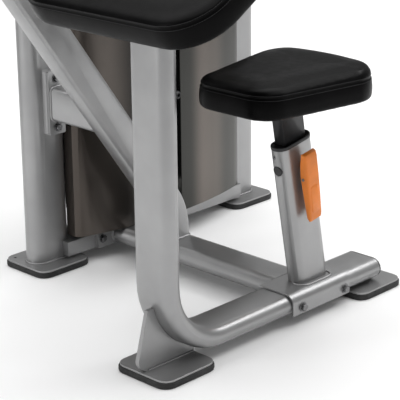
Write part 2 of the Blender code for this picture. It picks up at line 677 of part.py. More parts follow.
def handle():
    """One bent bar across both hands, with a grip over each slanted stretch."""
    half = GRIP_LENGTH / 2
    away = Vector((cos(GRIP_SKEW), -sin(GRIP_SKEW), 0))
    middle = Vector((SEAT_X + GRIP_OUT, GRIP_Y, LEVER_END_Z))
    inner, outer = middle - away * (half + 0.006), middle + away * (half - 0.012)

    def mirrored(p):
        return Vector((2 * SEAT_X - p.x, p.y, p.z))

    left_outer = mirrored(middle + away * (half + 0.010))
    path = [Vector((LEVER_X - 0.020, LEVER_END_Y, LEVER_END_Z)),
            Vector((left_outer.x - 0.035, LEVER_END_Y, LEVER_END_Z)), left_outer, mirrored(inner), inner, outer]
    curve = bpy.data.curves.new("handle_bar", "CURVE")
    curve.dimensions = "3D"
    spline = curve.splines.new("POLY")
    spline.points.add(len(path) - 1)
    for point, p in zip(spline.points, path):
        point.co = (*p, 1)
    curve.bevel_depth = BAR_R
    curve.bevel_resolution = 3
    curve.use_fill_caps = True
    bar = bpy.data.objects.new("handle_bar", curve)
    MACHINE.objects.link(bar)
    bar.location = from_curl(0, 0, 0)
    bar.parent = CURL
    place(as_mesh(bar), MACHINE, BLACK_PAINT, CURL)

    bore = BAR_R + GAP
    sleeve = [(bore, half), (GRIP_R, half), (GRIP_R, -half), (bore, -half)]
    for name, at, skew in (("grip_left", mirrored(middle), GRIP_SKEW), ("grip_right", middle, -GRIP_SKEW)):
        turned(name, sleeve, from_curl(*at), "X", RUBBER, 16, CURL).rotation_euler = (0, 0, skew)


# Belt and pulleys

BELT_Y = PIVOT_Y + CAM_R + GAP                       # inner face of the run that leaves the cam
FRONT_PULLEY_Y = BELT_Y + BELT_THICK + GAP + PULLEY_R
DROP_Y = STACK_Y - BELT_THICK / 2
REAR_PULLEY_Y = DROP_Y - GAP - PULLEY_R
DROP_TOP = 1.19
HEAD_TOP = STACK_BOTTOM + PLATE_COUNT * PLATE_PITCH + 0.034
CLAMP_TOP = HEAD_TOP + 0.030


def pulleys():
    w = 0.017
    section = [(0.0083, w), (PULLEY_FLANGE_R, w), (PULLEY_FLANGE_R, w - 0.003), (PULLEY_R, w - 0.004),
               (PULLEY_R, 0.004 - w), (PULLEY_FLANGE_R, 0.003 - w), (PULLEY_FLANGE_R, -w), (0.0083, -w)]
    seat_z = UPRIGHT_TOP + GAP + TOP_BEAM_HEIGHT + GAP
    base = 0.004
    for end, y in (("front", FRONT_PULLEY_Y), ("rear", REAR_PULLEY_Y)):
        turned(f"pulley_{end}", section, (TOWER_X, y, PULLEY_Z), "X", BLACK_PLASTIC, 24)
        fork = block(f"pulley_bracket_{end}", (0.050, 0.056, base), (TOWER_X, y, seat_z + base / 2), SILVER)
        cheek = [(y - 0.028, seat_z), (y + 0.028, seat_z)] + arc(y, PULLEY_Z, 0.016, 0, pi, 6)
        sides = [prism("cheek", [cheek], 0.004, YZ, (TOWER_X + side * 0.023, 0, 0), None) for side in (-1, 1)]
        axle = rod("axle", 0.0080, 0.058, (TOWER_X, y, PULLEY_Z), "X", None, 14)
        welded(fork, *sides, axle)


def belts():
    near, far = PULLEY_R + GAP, PULLEY_R + GAP + BELT_THICK
    start_z = PIVOT_Z + (CAM_R + BELT_THICK) * sin(0.28)
    over = [(BELT_Y, start_z)] + arc(FRONT_PULLEY_Y, PULLEY_Z, far, pi, pi / 2, 8)
    over += arc(REAR_PULLEY_Y, PULLEY_Z, far, pi / 2, 0, 8) + [(REAR_PULLEY_Y + far, DROP_TOP)]
    under = [(REAR_PULLEY_Y + near, DROP_TOP)] + arc(REAR_PULLEY_Y, PULLEY_Z, near, 0, pi / 2, 8)
    under += arc(FRONT_PULLEY_Y, PULLEY_Z, near, pi / 2, pi, 8) + [(FRONT_PULLEY_Y - near, start_z)]
    prism("belt", [over + under], BELT_WIDE, YZ, (TOWER_X, 0, 0), BELT)
    low, high = CLAMP_TOP + GAP, DROP_TOP - GAP
    block("belt_drop", (BELT_WIDE, BELT_THICK, high - low), (TOWER_X, STACK_Y, (low + high) / 2), BELT)


# Weight stack

def plates(name, first, count):
    """Plates that lie on each other, with a groove at each joint and holes for the rods and the pin."""
    groove = 0.0020
    low = STACK_BOTTOM + PLATE_PITCH * first
    side = []
    for k in range(count):
        z = low + PLATE_PITCH * k
        side += [(STACK_HALF_X, z + (groove if k else 0)),
                 (STACK_HALF_X, z + PLATE_PITCH - (groove if k < count - 1 else GAP))]
        if k < count - 1:
            side.append((STACK_HALF_X - groove, z + PLATE_PITCH))
    outline = side + [(-u, v) for u, v in reversed(side)]
    block_of_plates = prism(name, [outline], 2 * STACK_HALF_Y, XZ, (TOWER_X, STACK_Y, 0), BLACK_PAINT)
    middle = low + PLATE_PITCH * count / 2
    ways = [rod("way", radius, 0.5, (TOWER_X, STACK_Y + y, middle), "Z", None, 10)
            for y, radius in ((-ROD_SPACING, 0.0112), (0, 0.0140), (ROD_SPACING, 0.0112))]
    levels = [low + PLATE_PITCH * (k + 0.5) for k in range(count)]
    ways += [rod("pin_way", 0.0058, 0.080, (TOWER_X + 0.040, STACK_Y, z), "X", None, 8) for z in levels]
    return cut(block_of_plates, *ways)


def weight_stack():
    split = PLATE_COUNT - LIFTED
    plates("resting_plates", 0, split)
    plates("lifted_plates", split, LIFTED)

    head_low = STACK_BOTTOM + PLATE_COUNT * PLATE_PITCH
    head = HEAD_TOP - head_low
    holes = [circle(0, side * ROD_SPACING, 0.0100, 12) for side in (-1, 1)]
    head_plate = prism("head_plate", [rounded(2 * STACK_HALF_X, 2 * STACK_HALF_Y, 0.006, 1)] + holes, head, XY,
                       (TOWER_X, STACK_Y, head_low + head / 2), BLACK_PAINT)
    clamp = CLAMP_TOP - HEAD_TOP + WELD
    clamp_at = (TOWER_X, STACK_Y, CLAMP_TOP - clamp / 2)
    welded(head_plate, block("clamp", (0.040, 0.024, clamp), clamp_at, None, 0.002))

    rod_low, rod_high = STACK_BOTTOM + 0.004, head_low - GAP
    stem_at = (TOWER_X, STACK_Y, (rod_low + rod_high) / 2)
    stem = rod("selector_rod", 0.0125, rod_high - rod_low, stem_at, "Z", CHROME, 12)
    levels = [STACK_BOTTOM + PLATE_PITCH * (k + 0.5) for k in range(PLATE_COUNT)]
    cut(stem, *[rod("way", 0.0058, 0.05, (TOWER_X, STACK_Y, z), "X", None, 8) for z in levels[1:]])

    pin_z = levels[split]
    tip, neck, end = TOWER_X - 0.012, -0.314, -0.262
    pin = rod("selector_pin", 0.0050, neck - tip, ((neck + tip) / 2, STACK_Y, pin_z), "X", DARK_STEEL, 10)
    welded(pin, rod("knob", 0.0110, end - neck, ((neck + end) / 2 - WELD, STACK_Y, pin_z), "X", None, 14))


# Shrouds

def shell(name, points, low, high, mat, thickness):
    """A thin upright wall that follows a line seen from above; it thickens to the line's left."""
    curve = bpy.data.curves.new(name, "CURVE")
    curve.dimensions = "2D"
    curve.fill_mode = "NONE"
    curve.extrude = (high - low) / 2
    spline = curve.splines.new("POLY")
    spline.points.add(len(points) - 1)
    for point, (u, v) in zip(spline.points, points):
        point.co = (u, v, 0, 1)
    obj = bpy.data.objects.new(name, curve)
    obj.location.z = (low + high) / 2
    MACHINE.objects.link(obj)
    made = place(as_mesh(obj), MACHINE, mat)
    wall = made.modifiers.new("wall", "SOLIDIFY")
    wall.thickness = thickness
    wall.offset = 0.0
    wall.use_even_offset = True
    return made


def front_arc(start_y, end_y, steps):
    """The bowed front wall, seen from above."""
    radius = (SHROUD_HALF ** 2 + SHROUD_SAGITTA ** 2) / (2 * SHROUD_SAGITTA)
    ys = [start_y + (end_y - start_y) * k / steps for k in range(steps + 1)]
    return [(SHROUD_APEX_X - radius + sqrt(radius ** 2 - (y - STACK_Y) ** 2), y) for y in ys]


def shrouds():
    side_x = UPRIGHT_FACE - 0.0050
    low_y, high_y = STACK_Y - SHROUD_HALF, STACK_Y + SHROUD_HALF
    corner = 0.008
    lip = SHROUD_APEX_X - 0.016
    left = [(side_x, low_y), (UPRIGHT_FACE + 0.0245, low_y)]
    left += front_arc(low_y + corner, STACK_Y - SLOT_HALF, 10) + [(lip, STACK_Y - SLOT_HALF)]
    shell("front_shroud_left", left, SHROUD_BOTTOM, SHROUD_TOP, SMOKE, WALL)
    right = [(x, 2 * STACK_Y - y) for x, y in left]
    shell("front_shroud_right", right, SHROUD_BOTTOM, SHROUD_TOP, SMOKE, WALL)
    back_x = TOWER_X - UPRIGHT_DEPTH / 2
    flip = REAR_APEX_X + SHROUD_APEX_X
    bow = [(flip - x, y) for x, y in front_arc(low_y + corner, high_y - corner, 16)]
    rear = [(back_x + 0.005, low_y), (back_x - 0.034, low_y)] + bow
    rear += [(back_x - 0.034, high_y), (back_x + 0.005, high_y)]
    shell("rear_shroud", rear, SHROUD_BOTTOM + 0.014, SHROUD_TOP, SMOKE, WALL)


COVER_HALF = 0.056
COVER_FRONT, COVER_BACK = -0.262, REAR_UPRIGHT_Y + UPRIGHT_WIDTH / 2 + 0.012
COVER_TOP = 1.392


def top_cover():
    """The hood over the top beam and its pulleys, open below, with the lid of the shrouds round it."""
    low = SHROUD_TOP + GAP
    middle = (COVER_FRONT + COVER_BACK) / 2
    size = (2 * COVER_HALF, COVER_BACK - COVER_FRONT)
    at = (TOWER_X, middle)
    hood = prism("top_cover", [rounded(*size, 0.030, 4)], COVER_TOP - low, XY,
                 (*at, (COVER_TOP + low) / 2), BLACK_PLASTIC)
    low_y, high_y = STACK_Y - SHROUD_HALF, STACK_Y + SHROUD_HALF
    flip = REAR_APEX_X + SHROUD_APEX_X
    bow = front_arc(low_y, high_y, 12)
    lid = [(x + WALL / 2, y) for x, y in bow] + [(flip - x - WALL / 2, y) for x, y in reversed(bow)]
    welded(hood, prism("lid", [lid], WALL, XY, (0, 0, low + WALL / 2), None))
    room = rounded(size[0] - 2 * WALL, size[1] - 2 * WALL, 0.026, 4)
    cut(hood, prism("room", [room], COVER_TOP - low, XY, (*at, (COVER_TOP + low) / 2 - WALL), None))


feet()
seat_frame()
saddle()
seat_post()
seat_lever()
seat()
arm_pad()
tower()
mast()
curl_arm()
pulleys()
belts()
weight_stack()
shrouds()
top_cover()
bolts()
for node in MACHINE.objects:
    if node.type == "MESH":
        node.data.shade_smooth()
        node.data.set_sharp_from_angle(angle=radians(35))
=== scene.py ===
"""The looks of the seated arm curl machine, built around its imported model.

Every piece is in metres in the model's own frame: +X from the weight tower to the seat, the user faces -Y.
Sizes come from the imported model's boxes, and the few that only the looks need are named below.
"""

import json
from math import ceil, cos, exp, hypot, pi, radians, sin

import bmesh
import bpy
from mathutils import Euler, Matrix, Vector
from mathutils.bvhtree import BVHTree
from mathutils.kdtree import KDTree


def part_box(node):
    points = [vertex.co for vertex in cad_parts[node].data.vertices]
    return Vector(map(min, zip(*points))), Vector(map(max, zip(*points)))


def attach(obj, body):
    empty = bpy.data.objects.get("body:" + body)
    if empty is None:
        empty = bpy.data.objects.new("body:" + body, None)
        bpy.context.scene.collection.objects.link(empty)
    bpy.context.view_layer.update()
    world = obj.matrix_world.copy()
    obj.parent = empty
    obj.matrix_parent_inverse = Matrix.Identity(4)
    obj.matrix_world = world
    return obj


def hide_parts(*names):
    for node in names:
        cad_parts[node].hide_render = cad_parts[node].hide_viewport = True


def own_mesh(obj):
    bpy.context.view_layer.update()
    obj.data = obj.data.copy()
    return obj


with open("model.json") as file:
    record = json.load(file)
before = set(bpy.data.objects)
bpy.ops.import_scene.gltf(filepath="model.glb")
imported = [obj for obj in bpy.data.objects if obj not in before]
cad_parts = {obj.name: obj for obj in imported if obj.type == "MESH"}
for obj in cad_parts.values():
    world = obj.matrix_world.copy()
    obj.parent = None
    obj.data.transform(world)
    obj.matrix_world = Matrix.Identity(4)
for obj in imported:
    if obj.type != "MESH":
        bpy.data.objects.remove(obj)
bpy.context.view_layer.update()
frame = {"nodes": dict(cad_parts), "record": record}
NODES = frame["nodes"]
BODY_OF = {node: body for body, nodes in frame["record"]["behaviour"]["bodies"].items() for node in nodes}
SLOT_OF = {part["node"]: part["material_slot"] for part in frame["record"]["subparts"]}

CAMERA_PLACE = (2.308, -2.183, 1.353)
CAMERA_HEADING, CAMERA_DIP, CAMERA_ROLL = radians(44.39), radians(17.40), radians(-0.66)
LENS = 135.4
SHIFT_Y = -0.10


# Material helpers

class Nodes:
    """Short names for a material's nodes, all in object space."""

    def __init__(self, name):
        self.material = bpy.data.materials.new(name)
        self.material.use_nodes = True
        self.tree = self.material.node_tree
        self.shader = self.tree.nodes["Principled BSDF"]
        self.space = self.tree.nodes.new("ShaderNodeTexCoord").outputs["Object"]

    def link(self, start, end):
        self.tree.links.new(start, end)

    def node(self, kind, **values):
        made = self.tree.nodes.new(kind)
        for name, value in values.items():
            if name in made.inputs:
                made.inputs[name].default_value = value
            else:
                setattr(made, name, value)
        return made

    def noise(self, scale, detail=3.0, roughness=0.5, stretch=(1, 1, 1)):
        place = self.node("ShaderNodeMapping", vector_type="POINT")
        place.inputs["Scale"].default_value = stretch
        self.link(self.space, place.inputs["Vector"])
        made = self.node("ShaderNodeTexNoise", Scale=scale, Detail=detail, Roughness=roughness)
        self.link(place.outputs[0], made.inputs["Vector"])
        return made.outputs["Fac"]

    def cells(self, scale, feature="F1"):
        made = self.node("ShaderNodeTexVoronoi", Scale=scale, feature=feature)
        self.link(self.space, made.inputs["Vector"])
        return made.outputs["Distance"]

    def ramp(self, source, low, high, at_low=0.35, at_high=0.65):
        """Maps a value to a colour or a number between two ends."""
        made = self.node("ShaderNodeValToRGB")
        ends = made.color_ramp.elements
        for end, at, value in ((ends[0], at_low, low), (ends[1], at_high, high)):
            end.position = at
            end.color = (*value, 1) if isinstance(value, tuple) else (value, value, value, 1)
        self.link(source, made.inputs["Fac"])
        return made.outputs["Color"]

    def bump(self, *layers):
        """Stacks bumps, each as (height, metres, strength)."""
        before = None
        for height, distance, strength in layers:
            made = self.node("ShaderNodeBump", Strength=strength, Distance=distance)
            self.link(height, made.inputs["Height"])
            if before:
                self.link(before, made.inputs["Normal"])
            before = made.outputs["Normal"]
        self.link(before, self.shader.inputs["Normal"])

    def base(self, colour):
        self.link(colour, self.shader.inputs["Base Color"])

    def rough(self, value):
        self.link(value, self.shader.inputs["Roughness"])


def shade(colour, factor):
    return tuple(c * factor for c in colour)


def painted(name, colour, metallic, rough, peel=0.00001):
    """Powder coat: orange peel, a faint unevenness of colour and of gloss."""
    made = Nodes(name)
    made.shader.inputs["Metallic"].default_value = metallic
    made.base(made.ramp(made.noise(9, 5), shade(colour, 0.94), shade(colour, 1.05)))
    made.rough(made.ramp(made.noise(35, 4), rough - 0.02, rough + 0.03))
    made.bump((made.noise(300, 2), peel, 0.25))
    return made.material


def vinyl(name):
    """Black upholstery vinyl: pebbled grain with fine creases."""
    made = Nodes(name)
    made.base(made.ramp(made.noise(14, 4), (0.0012, 0.0012, 0.0013), (0.0022, 0.0022, 0.0023)))
    made.rough(made.ramp(made.noise(60, 4), 0.30, 0.37))
    made.shader.inputs["Specular IOR Level"].default_value = 0.06
    made.bump((made.cells(520, "SMOOTH_F1"), 0.00022, 0.5), (made.noise(1100, 3), 0.00006, 0.5),
              (made.noise(45, 3), 0.0008, 0.25))
    return made.material


def moulded(name, colour, rough, texture=900, depth=0.00004):
    """Moulded plastic with a spark-eroded texture."""
    made = Nodes(name)
    made.base(made.ramp(made.noise(18, 4), shade(colour, 0.88), shade(colour, 1.10)))
    made.rough(made.ramp(made.noise(70, 3), rough - 0.05, rough + 0.06))
    made.bump((made.noise(texture, 2), depth, 0.45))
    return made.material


# The smoked sheet's colour from the tower's front edge to its rear edge, as (share of the way, colour): its
# dark tint with bands of painted reflection
SMOKE_REFLECTION_BANDS = ((0.00, (0.075, 0.064, 0.056)), (0.14, (0.105, 0.092, 0.082)), (0.31, (0.020, 0.019, 0.018)),
               (0.60, (0.040, 0.040, 0.037)), (0.70, (0.125, 0.110, 0.099)), (0.78, (0.110, 0.098, 0.088)),
               (0.89, (0.052, 0.051, 0.047)), (1.00, (0.050, 0.049, 0.045)))


def smoked(name):
    """Dark smoked sheet: glossy, slightly wavy, with uneven tint, bands of painted reflection and a painted
    highlight in its lower part.
    """
    made = Nodes(name)
    place = made.node("ShaderNodeSeparateXYZ")
    made.link(made.space, place.inputs[0])
    low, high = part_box("front_shroud_left")[0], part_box("front_shroud_right")[1]
    along = made.node("ShaderNodeMapRange", **{"From Min": low.y, "From Max": high.y})
    made.link(place.outputs["Y"], along.inputs["Value"])
    # Painted reflections: light and dark bands across the sheet from its front to its rear
    painted_reflections = made.node("ShaderNodeValToRGB")
    painted_reflections.color_ramp.interpolation = "EASE"
    ends = painted_reflections.color_ramp.elements
    while len(ends) < len(SMOKE_REFLECTION_BANDS):
        ends.new(0.5)
    for end, (at, colour) in zip(ends, SMOKE_REFLECTION_BANDS):
        end.position = at
        end.color = (*colour, 1)
    made.link(along.outputs[0], painted_reflections.inputs["Fac"])
    # Painted highlight: the sheet is lighter towards its bottom and darker towards its top
    up = made.node("ShaderNodeMapRange", **{"From Min": low.z, "From Max": high.z})
    made.link(place.outputs["Z"], up.inputs["Value"])
    painted_low_highlight = made.ramp(up.outputs[0], 1.3, 0.7, 0.0, 0.6)
    mixed = made.node("ShaderNodeMix", data_type="RGBA", blend_type="MULTIPLY")
    mixed.inputs[0].default_value = 1.0
    made.link(painted_reflections.outputs["Color"], mixed.inputs[6])
    made.link(painted_low_highlight, mixed.inputs[7])
    cloudy = made.node("ShaderNodeMix", data_type="RGBA", blend_type="MULTIPLY")
    cloudy.inputs[0].default_value = 1.0
    made.link(mixed.outputs[2], cloudy.inputs[6])
    made.link(made.ramp(made.noise(3, 4), 0.92, 1.0), cloudy.inputs[7])
    made.base(cloudy.outputs[2])
    made.rough(made.ramp(made.noise(22, 5), 0.18, 0.23))
    made.shader.inputs["Metallic"].default_value = 0.8
    made.bump((made.noise(5, 2), 0.0010, 0.20), (made.noise(700, 2), 0.00001, 0.3))
    return made.material


def steel(name, colour, rough, stretch=(1, 1, 1)):
    """Bare or plated steel with fine turning marks along its stretch."""
    made = Nodes(name)
    made.shader.inputs["Metallic"].default_value = 1.0
    made.base(made.ramp(made.noise(30, 4), shade(colour, 0.85), colour))
    made.rough(made.ramp(made.noise(160, 4, 0.6, stretch), rough - 0.04, rough + 0.08))
    made.bump((made.noise(900, 2, 0.5, stretch), 0.00002, 0.4))
    return made.material


def rubber(name, colour=(0.016, 0.016, 0.016), texture=500, depth=0.00015):
    made = Nodes(name)
    made.base(made.ramp(made.noise(25, 5), shade(colour, 0.8), shade(colour, 1.6)))
    made.rough(made.ramp(made.noise(90, 3), 0.62, 0.80))
    made.bump((made.noise(texture, 3), depth, 0.5))
    return made.material


def webbing(name):
    """Belt with lengthwise cords under its cover."""
    made = Nodes(name)
    wave = made.node("ShaderNodeTexWave", Scale=160.0, wave_type="BANDS", bands_direction="X")
    made.link(made.space, wave.inputs["Vector"])
    made.base(made.ramp(made.noise(40, 3), (0.012, 0.012, 0.012), (0.026, 0.026, 0.026)))
    made.rough(made.ramp(made.noise(120, 3), 0.5, 0.65))
    made.bump((wave.outputs["Fac"], 0.0002, 0.5), (made.noise(800, 2), 0.0001, 0.3))
    return made.material


FRAME_PAINT = painted("frame_paint_look", (0.35, 0.35, 0.352), 0.75, 0.34)
BLACK_PAINT = painted("black_paint_look", (0.020, 0.020, 0.021), 0.1, 0.42, 0.00004)
STACK_PAINT = painted("stack_paint_look", (0.018, 0.018, 0.019), 0.1, 0.5, 0.00012)
VINYL = vinyl("pad_vinyl_look")
THREAD = moulded("thread_look", (0.020, 0.020, 0.021), 0.7, 2500, 0.0001)
SMOKED = smoked("smoked_plastic_look")
BLACK_PLASTIC = moulded("black_plastic_look", (0.016, 0.016, 0.017), 0.46)
ORANGE = moulded("orange_plastic_look", (0.80, 0.215, 0.018), 0.42)
RUBBER = rubber("black_rubber_look")
GRIP_FOAM = rubber("grip_look", (0.014, 0.014, 0.014), 900, 0.0002)
BRIGHT_STEEL = steel("bright_steel_look", (0.72, 0.72, 0.73), 0.14, (1, 1, 0.1))
BOLT_STEEL = steel("bolt_steel_look", (0.22, 0.22, 0.225), 0.26)
WEBBING = webbing("belt_look")
LOOK_OF = {"frame_paint": FRAME_PAINT, "black_paint": BLACK_PAINT, "bright_steel": BRIGHT_STEEL,
           "bolt_steel": BOLT_STEEL, "black_rubber": RUBBER, "pad_vinyl": VINYL, "smoked_plastic": SMOKED,
           "black_plastic": BLACK_PLASTIC, "orange_plastic": ORANGE}


# Mesh helpers

def new_object(name, work, look, smooth_angle=35):
    """Turns a bmesh into an object of the scene, with its look."""
    bmesh.ops.recalc_face_normals(work, faces=work.faces)
    mesh = bpy.data.meshes.new(name)
    work.to_mesh(mesh)
    work.free()
    mesh.materials.append(look)
    mesh.shade_smooth()
    mesh.set_sharp_from_angle(angle=radians(smooth_angle))
    obj = bpy.data.objects.new(name, mesh)
    bpy.context.scene.collection.objects.link(obj)
    return obj


def softened(obj, width, segments, angle):
    """Rounds a piece's edges that are sharper than an angle."""
    edge = obj.modifiers.new("edges", "BEVEL")
    edge.width = width
    edge.segments = segments
    edge.limit_method = "ANGLE"
    edge.angle_limit = radians(angle)


def finished(piece, body, slot, *replaced):
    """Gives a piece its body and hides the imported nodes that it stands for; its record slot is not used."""
    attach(piece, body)
    if replaced:
        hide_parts(*replaced)
    return piece


def refined(node, bevel, look=None, segments=2):
    """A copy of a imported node, its flat faces merged, its hard edges rounded and its round sides smooth."""
    work = bmesh.new()
    work.from_mesh(NODES[node].data)
    bmesh.ops.remove_doubles(work, verts=work.verts, dist=2e-6)
    bmesh.ops.dissolve_limit(work, angle_limit=radians(1.0), verts=work.verts, edges=work.edges)
    piece = new_object(node + "_fine", work, look or LOOK_OF[SLOT_OF[node]], 40)
    if bevel:
        softened(piece, bevel, segments, 35)
    return finished(piece, BODY_OF[node], SLOT_OF[node], node)


def corner_arc(cu, cv, radius, start, end, steps=10):
    """Points on a circle from one angle to another, in radians."""
    angles = [start + (end - start) * k / steps for k in range(steps + 1)]
    return [(cu + radius * cos(a), cv + radius * sin(a)) for a in angles]


def oval_points(width, height, steps=10):
    """A flat oval, counterclockwise: straight along its longer side and round at its ends."""
    radius = min(width, height) / 2
    run_u, run_v = max(width / 2 - radius, 0), max(height / 2 - radius, 0)
    ends = [(run_u, run_v, 0), (-run_u, run_v, pi / 2), (-run_u, -run_v, pi), (run_u, -run_v, 3 * pi / 2)]
    points = []
    for cu, cv, start in ends:
        points += corner_arc(cu, cv, radius, start, start + pi / 2, steps)
    kept = [points[0]]
    for p in points[1:]:
        if hypot(p[0] - kept[-1][0], p[1] - kept[-1][1]) > 1e-6:
            kept.append(p)
    if hypot(kept[0][0] - kept[-1][0], kept[0][1] - kept[-1][1]) < 1e-6:
        kept.pop()
    return kept


def rounded_points(width, height, radius, steps):
    """A rectangle with round corners, counterclockwise."""
    points = []
    for turn, (cu, cv) in enumerate([(1, 1), (-1, 1), (-1, -1), (1, -1)]):
        points += corner_arc(cu * (width / 2 - radius), cv * (height / 2 - radius), radius,
                             turn * pi / 2, (turn + 1) * pi / 2, steps - 1)
    return points


def tube_mesh(work, path, radius_at, sides=10, closed=False):
    """Adds a round tube along a path of vectors; radius_at gives its radius from the distance along it."""
    rings = []
    travelled = 0.0
    count = len(path)
    across = None
    for k, here in enumerate(path):
        before = path[k - 1] if k or closed else path[0]
        after = path[(k + 1) % count] if k < count - 1 or closed else path[-1]
        along = (after - before).normalized()
        if across is None:
            across = along.orthogonal().normalized()
        across = (across - along * across.dot(along)).normalized()
        other = along.cross(across)
        if k:
            travelled += (here - path[k - 1]).length
        radius = radius_at(travelled)
        rings.append([work.verts.new(here + (across * cos(a) + other * sin(a)) * radius)
                      for a in (2 * pi * j / sides for j in range(sides))])
    for k in range(count if closed else count - 1):
        ring, after = rings[k], rings[(k + 1) % count]
        shift = 0
        if closed and k == count - 1:
            shift = min(range(sides), key=lambda s: (after[s].co - ring[0].co).length)
        for j in range(sides):
            here, beyond = (j + shift) % sides, (j + 1 + shift) % sides
            work.faces.new((ring[j], ring[(j + 1) % sides], after[beyond], after[here]))
    if not closed:
        work.faces.new(list(reversed(rings[0])))
        work.faces.new(rings[-1])


def bead(name, path, closed=True, radius=0.0026):
    """A weld bead with the ripple of its passes."""
    fine = []
    stops = path + [path[0]] if closed else path
    for start, end in zip(stops, stops[1:]):
        pieces = max(1, ceil((end - start).length / 0.0016))
        fine += [start.lerp(end, k / pieces) for k in range(pieces)]
    if not closed:
        fine.append(path[-1])
    work = bmesh.new()
    tube_mesh(work, fine, lambda s: radius * (1 + 0.16 * sin(s * 2 * pi / 0.0042)), 8, closed)
    finished(new_object(name, work, FRAME_PAINT, 80), "frame", "frame_paint")


def lofted(work, rings):
    """Joins closed rings of equal counts, and closes the two ends."""
    made = [[work.verts.new(p) for p in ring] for ring in rings]
    for low, high in zip(made, made[1:]):
        for k in range(len(low)):
            work.faces.new((low[k - 1], low[k], high[k], high[k - 1]))
    work.faces.new(list(reversed(made[0])))
    work.faces.new(made[-1])


def bridge(work, outer, inner):
    """Joins two closed rings that may have different counts."""
    edges = [work.edges.get((ring[k - 1], ring[k])) or work.edges.new((ring[k - 1], ring[k]))
             for ring in (outer, inner) for k in range(len(ring))]
    bmesh.ops.bridge_loops(work, edges=edges)


def turned_mesh(work, profile, centre, axis, steps=40):
    """Adds a closed profile of (radius, along), turned about an axis through the centre."""
    turn = Vector((0, 0, 1)).rotation_difference(Vector(axis)).to_matrix()
    columns = []
    for k in range(steps):
        a = 2 * pi * k / steps
        column = [Vector(centre) + turn @ Vector((r * cos(a), r * sin(a), h)) for r, h in profile]
        columns.append([work.verts.new(p) for p in column])
    for k in range(steps):
        for j in range(len(profile)):
            corners = (columns[k][j - 1], columns[k][j], columns[k - 1][j], columns[k - 1][j - 1])
            work.faces.new(corners)


# Stage: floor, light and camera

def area_light(name, place, target, size, power, size_y=None):
    data = bpy.data.lights.new(name, "AREA")
    data.shape = "RECTANGLE"
    data.size, data.size_y = size, size_y or size
    data.energy = power
    lamp = bpy.data.objects.new(name, data)
    lamp.location = place
    lamp.rotation_euler = (Vector(target) - Vector(place)).to_track_quat("-Z", "Y").to_euler()
    bpy.context.scene.collection.objects.link(lamp)


def stage():
    pale = Nodes("floor_look")
    pale.base(pale.ramp(pale.noise(0.8, 3), (0.93, 0.93, 0.93), (0.95, 0.95, 0.95)))
    pale.shader.inputs["Roughness"].default_value = 0.75
    work = bmesh.new()
    bmesh.ops.create_grid(work, x_segments=1, y_segments=1, size=20)
    floor = new_object("floor", work, pale.material)
    floor.location.z = -0.0004
    world = bpy.data.worlds.new("studio")
    bpy.context.scene.world = world
    world.use_nodes = True
    sky = world.node_tree.nodes["Background"]
    sky.inputs["Color"].default_value = (1.0, 1.0, 1.0, 1)
    sky.inputs["Strength"].default_value = 0.32
    area_light("top_softbox", (-0.6, 0.6, 4.4), (-0.6, 0.6, 0), 7.0, 330)
    area_light("left_strip", (-1.0, -3.2, 1.4), (0, 0, 0.5), 0.35, 18, 2.2)
    area_light("back_strip", (1.3, 3.2, 3.2), (0.2, 0.1, 0.2), 3.0, 40, 0.5)
    area_light("right_softbox", (3.6, 1.6, 1.8), (0.2, 0.1, 0.4), 0.6, 9, 2.0)
    bpy.context.scene.view_settings.view_transform = "Standard"

    data = bpy.data.cameras.new("camera")
    data.lens = LENS
    data.shift_y = SHIFT_Y
    camera = bpy.data.objects.new("camera", data)
    camera.location = CAMERA_PLACE
    level = Euler((pi / 2 - CAMERA_DIP, 0, CAMERA_HEADING)).to_matrix()
    camera.rotation_euler = (level @ Euler((0, 0, CAMERA_ROLL)).to_matrix()).to_euler()
    bpy.context.scene.collection.objects.link(camera)
    bpy.context.scene.camera = camera


stage()

# Pads

def offset_outline(outline, inset):
    """Moves each point of a closed outline inwards along its own normal."""
    moved = []
    for k, (u, v) in enumerate(outline):
        (u0, v0), (u1, v1) = outline[k - 1], outline[(k + 1) % len(outline)]
        length = hypot(u1 - u0, v1 - v0)
        moved.append((u - inset * (v1 - v0) / length, v + inset * (u1 - u0) / length))
    return moved


def evenly(outline, spacing):
    """Points at an even spacing round a closed outline."""
    stops = outline + [outline[0]]
    runs = [hypot(b[0] - a[0], b[1] - a[1]) for a, b in zip(stops, stops[1:])]
    total = sum(runs)
    count = round(total / spacing)
    points, k, done = [], 0, 0.0
    for j in range(count):
        want = total * j / count
        while done + runs[k] < want:
            done += runs[k]
            k += 1
        part = (want - done) / runs[k]
        points.append((stops[k][0] + (stops[k + 1][0] - stops[k][0]) * part,
                       stops[k][1] + (stops[k + 1][1] - stops[k][1]) * part))
    return points


def distance_to(outline):
    """A function that says how far a point is from an outline, seen from above."""
    spots = evenly(outline, 0.0008)
    tree = KDTree(len(spots))
    for k, (u, v) in enumerate(spots):
        tree.insert((u, v, 0), k)
    tree.balance()
    return lambda p: tree.find((p.x, p.y, 0))[2]


